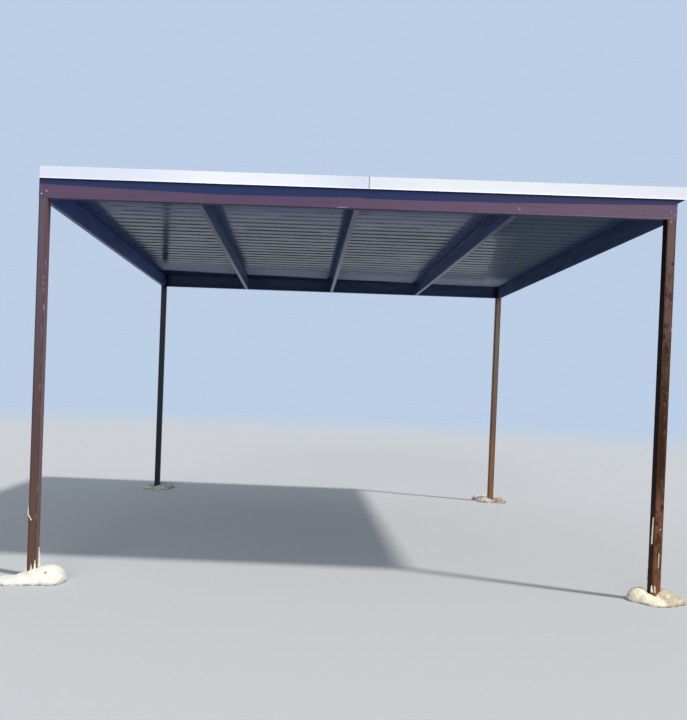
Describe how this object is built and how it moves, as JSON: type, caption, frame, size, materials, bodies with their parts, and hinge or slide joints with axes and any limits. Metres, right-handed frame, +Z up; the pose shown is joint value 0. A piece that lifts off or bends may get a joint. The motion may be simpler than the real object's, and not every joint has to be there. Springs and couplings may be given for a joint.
{
  "type": "carport",
  "caption": "open carport: square tube posts in foam footings carry channel beams and purlins under a flat ribbed metal roof with white edge trim, sheltering a vehicle",
  "frame": {"origin": "on the ground under the middle of the object, at the bottom centre of its bounding box", "axes": "X right and Y to the back as seen from the front, Z up; the front beam faces -Y and the roof ribs run along X"},
  "size_m": [6.6, 6.776, 3.9652],
  "materials": {
    "post_paint": "satin, rusty in patches",
    "beam_paint": "gloss",
    "bare_coated_sheet": "bright zinc-aluminium coat",
    "white_trim": "satin",
    "set_foam": "matt, pale cream"
  },
  "bodies": {
    "root": {"post_front_left": "post_paint", "post_front_right": "post_paint", "post_rear_left": "post_paint", "post_rear_right": "post_paint", "front_beam": "beam_paint", "rear_beam": "beam_paint", "left_beam": "beam_paint", "right_beam": "beam_paint", "purlin_left": "beam_paint", "purlin_middle": "beam_paint", "purlin_right": "beam_paint", "roof_sheet_1": "bare_coated_sheet", "roof_sheet_2": "bare_coated_sheet", "roof_sheet_3": "bare_coated_sheet", "roof_sheet_4": "bare_coated_sheet", "roof_sheet_5": "bare_coated_sheet", "roof_sheet_6": "bare_coated_sheet", "front_trim_left": "white_trim", "front_trim_right": "white_trim", "rear_trim_left": "white_trim", "rear_trim_right": "white_trim", "foam_front_left": "set_foam", "foam_front_right": "set_foam", "foam_rear_left": "set_foam", "foam_rear_right": "set_foam"}
  },
  "joints": []
}
